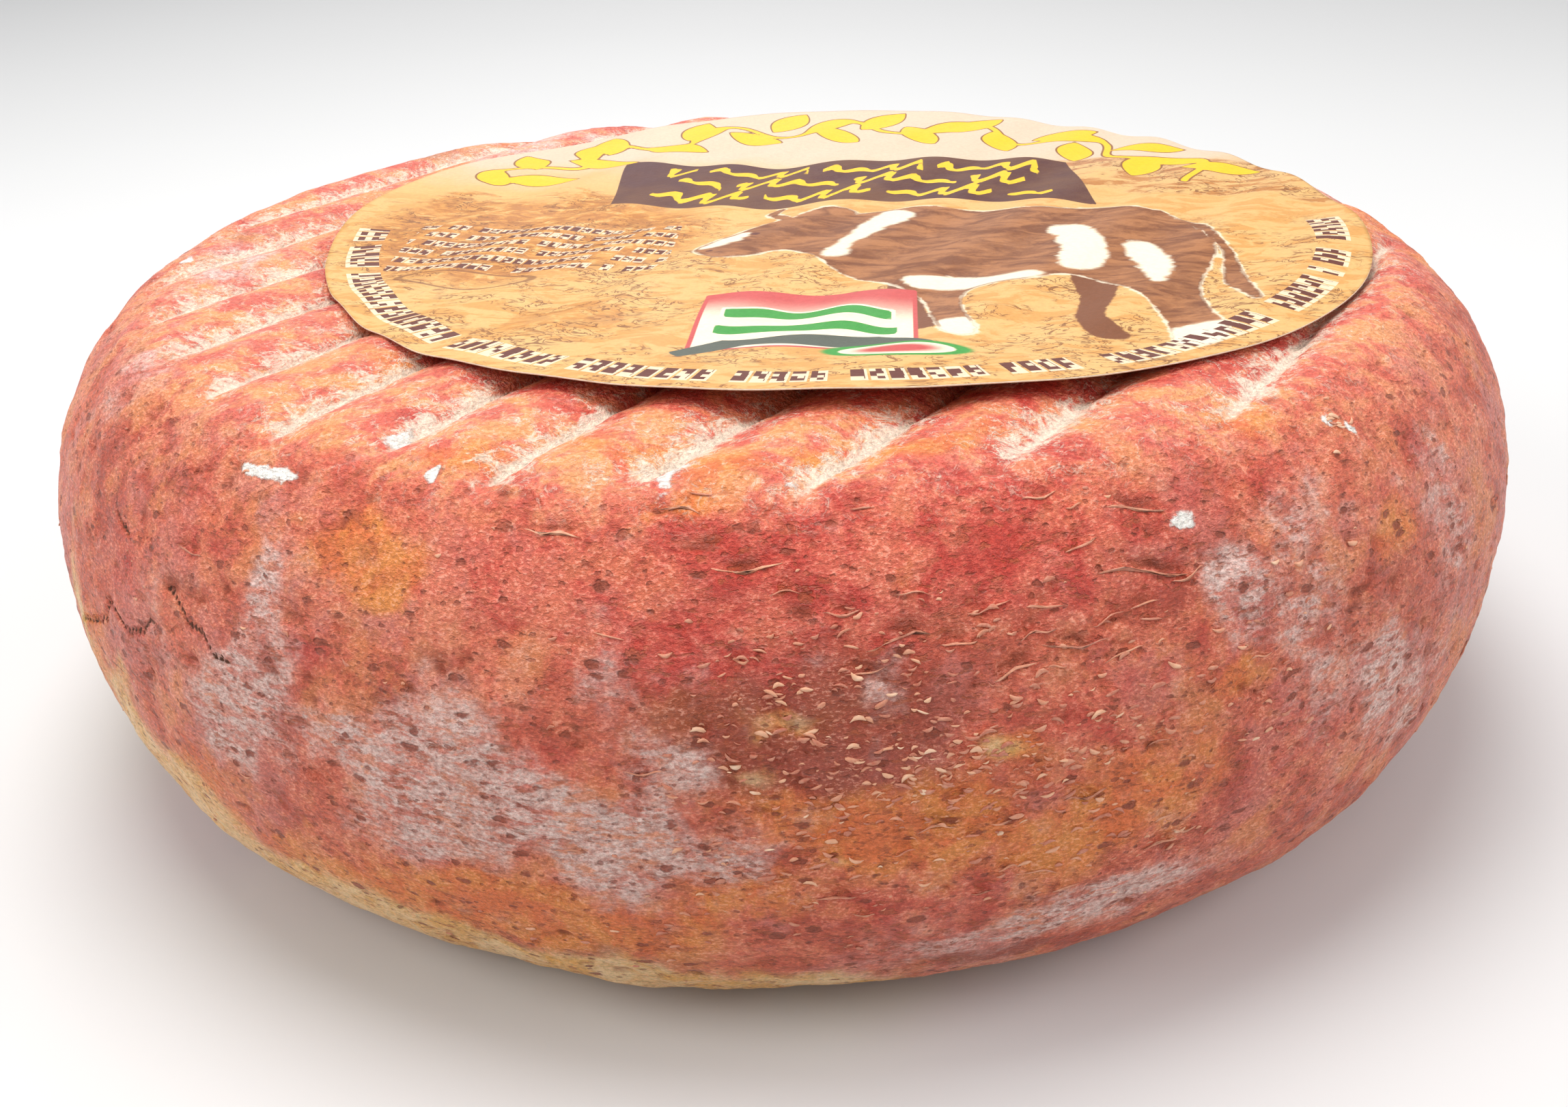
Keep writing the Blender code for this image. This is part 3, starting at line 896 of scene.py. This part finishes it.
# the label's picture: outlines in millimetres from its middle, x to the right, y up the picture
picture = {
    "cow": [(-28, -23), (-25, -16), (-17, -6), (-10, 0), (-3, 2), (6, 6), (18, 8), (32, 6), (46, 6),
            (56, 7), (65, 3), (71, -7), (73, -22), (70, -34), (66, -46), (65, -58), (66, -70), (63, -79),
            (57, -79), (57, -66), (55, -54), (50, -44), (44, -40), (36, -44), (28, -46), (24, -50),
            (23, -60), (25, -72), (20, -73), (18, -62), (16, -52), (8, -44), (0, -35), (-5, -26),
            (-10, -21), (-17, -26), (-24, -29)],
    "ear": [(-9, 1), (-3, 8), (3, 6), (-2, -1)],
    "horn": ([(-12, 0), (-15, 5), (-13, 9)], [1.3, 1.0, 0.5]),  # a line and its half widths
    "tail": ([(66, 2), (73, -8), (75, -26), (73, -44), (74, -56)], [1.2, 0.9, 0.9, 2.0, 0.7]),
    "farLegs": [[(10, -44), (17, -46), (17, -58), (19, -68), (14, -69), (12, -58)],
                [(44, -38), (52, -40), (50, -54), (47, -64), (50, -74), (44, -75), (42, -64), (44, -54)]],
    "cowWhite": [[(8, 5), (13, 6), (15, 0), (9, -8), (4, -18), (1, -28), (-3, -28), (1, -14)],
                 [(43, -8), (49, -6), (52, -16), (52, -28), (48, -36), (42, -36), (44, -22)],
                 [(56, -20), (61, -18), (63, -28), (62, -40), (58, -46), (57, -32)],
                 [(-27, -23), (-22, -20), (-18, -13), (-20, -11), (-25, -17)],
                 [(14, -42), (28, -41), (37, -39), (38, -43), (28, -47), (16, -48)],
                 [(19, -66), (26, -66), (26, -74), (19, -74)], [(57, -70), (67, -68), (65, -81), (56, -81)]],
    "cowDark": [(-17.0, -12.5, 1.1), (-25.0, -25.0, 0.8)],  # eye and nostril: x, y, radius
    "hill": [(44, 46), (58, 53), (76, 50), (90, 46), (112, 38), (112, 6), (90, 16), (70, 16), (52, 26)],
    "bush": [(-97, 8), (-88, 22), (-72, 16), (-58, 26), (-44, 16), (-32, 8), (-27, -10), (-34, -26),
             (-48, -36), (-66, -42), (-86, -38), (-100, -18)],
    "shed": [(-56, -58), (-44, -54), (-36, -58), (-36, -70), (-56, -70)],
    "roof": [(-25, -83), (-17, -74.5), (9, -72.5), (18, -78), (18, -80), (-13, -78.5), (-23, -85)],
    "badge": [-22, 15, -80, -50],  # left, right, bottom, top
    "green": [(-60.5, 14.5), (-68.5, 15.5)],  # bars on the badge: height, half width
    "banner": [-53, 53, 13, 52],
    "swirls": [(11.5, 44), (0, 40), (-11.5, 45)],  # rows on the banner: height, half width
    "oval": (12, -82, 10.0, 3.6),  # x, y, half width, half height
    "stamp": (-70, -40, 13.0, 4.6),
}


vineShape = {"steps": 300, "reach": 88, "leaves": 18, "leafReach": 6.8, "leafWidth": 4.2, "leafLength": 9.0}


# the stem that runs round the top of the picture, and how wide it is along its length
def vine():
    points, widths = [], []
    for step in range(vineShape["steps"] + 1):
        share = step / vineShape["steps"]
        turn = math.radians(158 - 138 * share)
        reach = vineShape["reach"] + 7.0 * math.sin(share * 42) + 1.0 * math.sin(share * 11)
        points.append((reach * math.cos(turn), reach * math.sin(turn)))
        widths.append(0.8 + 2.8 * max(0.0, math.sin(share * 42 + 0.9)) ** 2)
    return points, widths


# distance to the vine and the leaves that lean out from it on both sides
def vineDistance(x, y):
    gold = strokeDistance(x, y, *vine())
    for index in range(vineShape["leaves"]):
        turn = math.radians(157 - 136 * (index + 0.5) / vineShape["leaves"])
        outside = 1 if index % 2 else -1
        lean = turn - math.pi / 2 + outside * 0.95
        reach = vineShape["reach"] + outside * vineShape["leafReach"]
        dx, dy = x - reach * math.cos(turn), y - reach * math.sin(turn)
        along = dx * math.cos(lean) + dy * math.sin(lean)
        across = -dx * math.sin(lean) + dy * math.cos(lean)
        leaf = vineShape["leafWidth"] * (1 - (along / vineShape["leafLength"]) ** 2)
        gold = np.minimum(gold, np.abs(across) - leaf)
    return gold


# the banner, whose edges wave, and rows of swirls on it that stand for no letters
def bannerFields(x, y):
    left, right, bottom, top = picture["banner"]
    rise = y - (bottom + top) / 2
    wave = 2.4 * np.sin(x / 13.0) + 0.8 * np.sin(x / 6.0 + 1)
    banner = np.maximum(np.abs(x - (left + right) / 2 + rise * 0.07) - (right - left) / 2,
                        np.abs(rise - wave) - (top - bottom) / 2)
    rows = []
    for row, reach in picture["swirls"]:
        lean = x - (rise - wave - row) * 0.5
        pulse = 0.6 + 0.4 * np.sin(lean * 0.23 + row * 2)
        swirl = 3.3 * np.sin(lean * 0.95 + row) * pulse
        slope = 3.1 * np.cos(lean * 0.95 + row) * pulse
        away = np.abs(rise - wave - row - swirl) / np.sqrt(1 + slope ** 2)
        gap = np.abs((x + row * 3) % 27 - 13.5) - 11.8
        thick = 1.25 + 0.55 * np.sin(lean * 0.95 + row + 0.8)
        rows.append(np.maximum.reduce([away - thick, np.abs(x - 1) - reach, gap]))
    return banner, np.minimum.reduce(rows)


# signed distances to everything printed, in millimetres, and the picture's own coordinates
def pictureFields(x, y):
    turn = math.radians(-paperShape["turned"])
    x, y = x * math.cos(turn) - y * math.sin(turn), x * math.sin(turn) + y * math.cos(turn)
    fields = {"run": x, "rise": y, "gold": vineDistance(x, y)}
    fields["banner"], fields["goldRows"] = bannerFields(x, y)
    fields["cow"] = np.minimum.reduce([
        *(outlineDistance(x, y, rounded(picture[part])) for part in ("cow", "ear")),
        *(strokeDistance(x, y, *picture[part]) for part in ("horn", "tail"))])
    for name in ("farLegs", "cowWhite"):
        fields[name] = np.minimum.reduce([outlineDistance(x, y, rounded(part)) for part in picture[name]])
    fields["cowDark"] = np.minimum.reduce([np.hypot(x - dotX, y - dotY) - size
                                           for dotX, dotY, size in picture["cowDark"]])
    for name in ("hill", "bush"):
        fields[name] = outlineDistance(x, y, rounded(picture[name]))
    for name in ("shed", "roof"):
        fields[name] = outlineDistance(x, y, np.array(picture[name], float))
    for name in ("oval", "stamp"):
        middleX, middleY, wide, tall = picture[name]
        fields[name] = (np.hypot((x - middleX) / wide, (y - middleY) / tall) - 1) * tall
    left, right, bottom, top = picture["badge"]
    aside, ripple = x - (left + right) / 2, 0.9 * np.sin(x / 2.3)
    fields["badge"] = np.maximum(np.abs(aside) - (right - left) / 2,
                                 np.abs(y - (bottom + top) / 2 - aside * 0.02) - (top - bottom) / 2)
    fields["green"] = np.minimum.reduce([
        np.maximum(np.abs(aside) - reach, np.abs(y - height - ripple) - 2.0)
        for height, reach in picture["green"]])
    return fields


def buildLabel(face, back):
    bm = bmesh.new()
    cells = paperShape["cells"]
    bmesh.ops.create_grid(bm, x_segments=cells, y_segments=cells, size=1.0)
    mesh = newMesh(bm, "label_sheet")
    square = readPoints(mesh)
    x = square[:, 0] * np.sqrt(1 - square[:, 1] ** 2 / 2) * labelRadius
    y = square[:, 1] * np.sqrt(1 - square[:, 0] ** 2 / 2) * labelRadius
    writePoints(mesh, np.stack([x + labelX, y + labelY, paperHeight(x, y)], 1))
    writeFields(mesh, pictureFields(x, y))
    mesh.shade_smooth()
    label = addObject("label_sheet", mesh, face)
    mesh.materials.append(back)
    paper = label.modifiers.new("paper", "SOLIDIFY")
    paper.thickness = paperShape["thickness"] * mm
    paper.offset = -1.0
    paper.material_offset = 1
    paper.material_offset_rim = 1
    print("label laid", len(mesh.polygons), "faces")
    return label


inks = {
    "paper": (0.64, 0.385, 0.145), "paperPale": (0.61, 0.47, 0.345), "wash": (0.55, 0.235, 0.05),
    "washDeep": (0.38, 0.135, 0.030), "hill": (0.60, 0.36, 0.15), "pen": (0.17, 0.06, 0.022),
    "banner": (0.075, 0.020, 0.020), "gold": (0.80, 0.47, 0.02), "outline": (0.24, 0.10, 0.035),
    "cow": (0.18, 0.062, 0.025), "cowLight": (0.36, 0.15, 0.06), "white": (0.80, 0.69, 0.52),
    "green": (0.05, 0.27, 0.05), "red": (0.50, 0.08, 0.075), "roof": (0.09, 0.10, 0.08),
    "strokes": (0.12, 0.035, 0.025),
}


def paperMaterial():
    material, tree, coords = newMaterial("printed paper")
    rise, run = readField(tree, "rise"), readField(tree, "run")
    cloud = speckle(tree, coords, 26, 5, 0.62)
    brush = speckle(tree, stretch(tree, coords, 1.0, 2.2, 1.0), 9, 5, 0.66, 0.8)
    daub = speckle(tree, stretch(tree, coords, 1.0, 1.5, 1.0), 4.5, 4, 0.66, 0.6)

    # 1 inside an outline, 0 outside, with a crisp printed edge
    def inked(name, grow=0.0, soft=0.12):
        return fade(tree, readField(tree, name), grow - soft, grow + soft, 1.0, 0.0)

    def printed(name, ink, grow=0.0, soft=0.12):
        return inked(name, grow, soft), inks[ink]

    # the same with an uneven, hand-painted edge
    def painted(name, uneven, amount, soft=0.3):
        return fade(tree, jostle(tree, readField(tree, name), uneven, amount), -soft, soft, 1.0, 0.0)

    def outlined(name, width, strength):
        return fade(tree, calc(tree, "ABSOLUTE", readField(tree, name)), 0.2, width, strength, 0.0)

    def tint(value, *stops):
        return ramp(tree, value, [(place, inks[name]) for place, name in stops])

    low = jostle(tree, rise, cloud, 50.0)
    bush = fade(tree, jostle(tree, readField(tree, "bush"), brush, 36.0), 3, -6)
    bushTint = tint(daub, (0.43, "washDeep"), (0.55, "wash"), (0.65, "paper"))
    hillEdge = jostle(tree, readField(tree, "hill"), cloud, 10.0)
    # pen scribbles, only where there is something drawn
    scribble = speckle(tree, stretch(tree, coords, 1.0, 1.6, 1.0), 6.0, 3, 0.6, 1.6)
    drawn = calc(tree, "MAXIMUM", calc(tree, "MAXIMUM", bush, fade(tree, low, 8, -20)),
                 fade(tree, hillEdge, 1.0, -1.5))
    broken = fade(tree, speckle(tree, coords, 12, 3, 0.6), 0.44, 0.54)
    cow = painted("cow", daub, 2.2)
    halo = fade(tree, jostle(tree, readField(tree, "cow"), brush, 3.0), 0.2, 0.8, 0.8, 0.0)
    # small print on the left above the stamp, and round the lower rim: marks that stand for none
    smallMarks, smallGround = smallPrint(tree, run, rise)
    rimMarks, rimGround = rimPrint(tree, coords)

    colour = glaze(
        tree, inks["paper"],
        # watercolour ground: pale sky, ochre fields
        (fade(tree, low, 26, 60), inks["paperPale"]),
        (times(tree, fade(tree, brush, 0.47, 0.58), fade(tree, rise, 34, 4), 0.62), inks["wash"]),
        (times(tree, bush, 0.85), bushTint),
        (times(tree, painted("shed", daub, 8.0, 0.8), 0.5), bushTint),
        (fade(tree, hillEdge, 1.0, -1.5, 0.0, 0.8),
         tint(brush, (0.42, "washDeep"), (0.50, "hill"), (0.60, "paper"))),
        (times(tree, threads(tree, scribble, 0.014, 0.034), drawn, broken, 0.8), inks["pen"]),
        # cow
        (painted("farLegs", daub, 2.0), inks["cow"]),
        (halo, inks["white"]),
        (cow, tint(brush, (0.40, "cow"), (0.60, "cowLight"))),
        (times(tree, painted("cowWhite", brush, 4.5, 0.7), cow), inks["white"]),
        (times(tree, outlined("cow", 0.5, 0.55), broken), inks["pen"]),
        printed("cowDark", "strokes"),
        # banner and its plain gold swirls
        (inked("banner"), mixColours(tree, fade(tree, cloud, 0.35, 0.65, 0.0, 0.12), inks["banner"],
                                     inks["hill"])),
        (times(tree, inked("goldRows"), inked("banner", -2)), inks["gold"]),
        printed("gold", "outline", 0.5), printed("gold", "gold"),
        # badge with a red sky, green bars and a roof, and an oval beside it
        printed("badge", "red", 0.5),
        (inked("badge", -0.3), mixColours(tree, fade(tree, rise, -66, -52), inks["white"], inks["red"])),
        printed("green", "white", 0.7), printed("green", "green"), printed("roof", "roof"),
        printed("oval", "green", 0.8, 0.3), printed("oval", "white", -0.2), printed("oval", "red", -1.2, 0.8),
        (outlined("stamp", 0.45, 0.7), inks["pen"]),
        (times(tree, smallGround, 0.65), inks["white"]), (smallMarks, inks["strokes"]),
        (times(tree, rimGround, 0.7), inks["white"]), (rimMarks, inks["strokes"]))
    colour = shade(tree, colour, fade(tree, speckle(tree, coords, 0.9, 4, 0.7), 0.3, 0.7, 0.93, 1.05))
    rough = fade(tree, cloud, 0.3, 0.7, 0.48, 0.60)
    return dress(material, colour, {"Roughness": rough, "Specular IOR Level": 0.18},
                 speckle(tree, coords, 7, 5, 0.6), 0.5, 0.9)


# a random value for each whole step of two coordinates
def chanceAt(tree, along, row):
    cell = addNode(tree, "CombineXYZ", None, X=calc(tree, "FLOOR", along), Y=calc(tree, "FLOOR", row))
    return addNode(tree, "TexWhiteNoise", {"noise_dimensions": "2D"}, Vector=cell.outputs[0]).outputs["Value"]


# rows of blocks switched on and off by chance: along and row count the marks and the rows
def printedMarks(tree, along, row):
    across, spot = calc(tree, "FRACT", row), calc(tree, "FRACT", along)
    chance = chanceAt(tree, times(tree, along, 3.0), times(tree, row, 8.0))
    shown = calc(tree, "GREATER_THAN", chanceAt(tree, along, row), 0.15)
    mark = times(tree, calc(tree, "GREATER_THAN", chance, 0.34), calc(tree, "LESS_THAN", spot, 0.72),
                 calc(tree, "LESS_THAN", across, 0.5), shown)
    around = times(tree, calc(tree, "LESS_THAN", across, 0.58), calc(tree, "LESS_THAN", spot, 0.86), shown)
    return mark, around


def smallPrint(tree, run, rise):
    along = times(tree, calc(tree, "MULTIPLY_ADD", rise, -0.25, run), 0.46)
    row = calc(tree, "DIVIDE", calc(tree, "ADD", rise, 34.0), 5.2)
    box = times(tree, within(tree, run, -88.0, -33.0), within(tree, rise, -34.0, -3.5))
    return [times(tree, mask, box) for mask in printedMarks(tree, along, row)]


def rimPrint(tree, coords):
    centred = addNode(tree, "Mapping", None, Vector=coords)
    centred.inputs["Location"].default_value = (-labelX * mm, -labelY * mm, 0.0)
    parts = addNode(tree, "SeparateXYZ", None, Vector=centred.outputs[0]).outputs
    reach = calc(tree, "SQRT", calc(tree, "ADD", calc(tree, "POWER", parts[0], 2.0),
                                    calc(tree, "POWER", parts[1], 2.0)))
    turn = calc(tree, "ARCTAN2", parts[1], parts[0])
    row = calc(tree, "DIVIDE", calc(tree, "SUBTRACT", reach, 94.8 * mm), 11.0 * mm)
    shown = times(tree, calc(tree, "LESS_THAN", turn, -0.12), calc(tree, "GREATER_THAN", row, 0.0))
    return [times(tree, mask, shown) for mask in printedMarks(tree, times(tree, turn, 33.0), row)]


def backMaterial():
    material, tree, coords = newMaterial("paper back")
    fibre = speckle(tree, coords, 1.2, 4, 0.7)
    colour = ramp(tree, fibre, [(0.35, (0.70, 0.58, 0.42)), (0.65, (0.84, 0.75, 0.60))])
    return dress(material, colour, {"Roughness": 0.7}, fibre, 0.3, 0.1)


studio = {
    "world": (0.965, 0.975, 1.0), "worldStrength": 0.52, "floor": (0.665, 0.665, 0.66),
    # name, place, size, power, colour; each one is aimed at the cheese
    "lights": [
        ("overhead softbox", (-0.10, 0.10, 1.10), 0.7, 9.0, (1.0, 0.995, 0.985)),
        ("back softbox", (-0.1, 1.6, 1.3), 1.2, 10.0, (1.0, 0.99, 0.99)),
        ("left softbox", (-1.0, -0.45, 0.85), 0.7, 7.2, (1.0, 0.98, 0.96)),
        ("right softbox", (1.1, -0.35, 0.80), 0.8, 7.2, (1.0, 0.98, 0.97)),
    ],
}


def buildStudio():
    bm = bmesh.new()
    bmesh.ops.create_circle(bm, cap_ends=True, segments=96, radius=4.0)
    mesh = newMesh(bm, "floor")
    material, tree, coords = newMaterial("pale floor")
    pale = studio["floor"]
    colour = ramp(tree, speckle(tree, coords, 400, 2, 0.5),
                  [(0.3, tuple(0.985 * part for part in pale)), (0.7, pale)])
    addObject("floor", mesh, dress(material, colour, {"Roughness": 0.55}))
    world = bpy.data.worlds.new("studio")
    bpy.context.scene.world = world
    world.use_nodes = True
    sky = world.node_tree.nodes["Background"]
    sky.inputs["Color"].default_value = (*studio["world"], 1.0)
    sky.inputs["Strength"].default_value = studio["worldStrength"]
    for name, place, size, power, colour in studio["lights"]:
        light = bpy.data.lights.new(name, "AREA")
        light.shape = "DISK"
        light.size = size
        light.energy = power
        light.color = colour
        lamp = bpy.data.objects.new(name, light)
        lamp.location = place
        ahead = Vector((0, 0, wheelHeight * mm / 2)) - lamp.location
        lamp.rotation_euler = ahead.to_track_quat("-Z", "Y").to_euler()
        bpy.context.scene.collection.objects.link(lamp)


# degrees above the level, millimetres away, degrees of roll, lens in millimetres, shift in frame widths
view = {"height": 22.76, "distance": 328.3, "roll": 1.98, "lens": 34.495, "shift": (0.002, -0.0862)}


def buildCamera():
    camera = bpy.data.cameras.new("camera")
    camera.sensor_width = 36.0
    camera.lens = view["lens"]
    camera.shift_x, camera.shift_y = view["shift"]
    camera.clip_start = 0.01
    eye = bpy.data.objects.new("camera", camera)
    bpy.context.scene.collection.objects.link(eye)
    tilt = math.radians(view["height"])
    eye.location = (0.0, -view["distance"] * math.cos(tilt) * mm,
                    (view["distance"] * math.sin(tilt) + wheelHeight / 2) * mm)
    eye.rotation_euler = (Matrix.Rotation(math.pi / 2 - tilt, 3, "X")
                          @ Matrix.Rotation(-math.radians(view["roll"]), 3, "Z")).to_euler()
    bpy.context.scene.camera = eye
    bpy.context.scene.view_settings.view_transform = "Standard"


buildCamera()
buildStudio()
stainGroup = buildStainGroup()
grainGroup = buildGrainGroup()
poreGroup = buildPoreGroup()

rind = buildRind(rindMaterial(stainGroup, grainGroup, poreGroup))
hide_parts("cheese_wheel")
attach(rind, "root")

crumbs = buildCrumbs(rind, crumbMaterial(grainGroup))
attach(crumbs, "root")

label = buildLabel(paperMaterial(), backMaterial())
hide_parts("paper_label")
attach(label, "root")
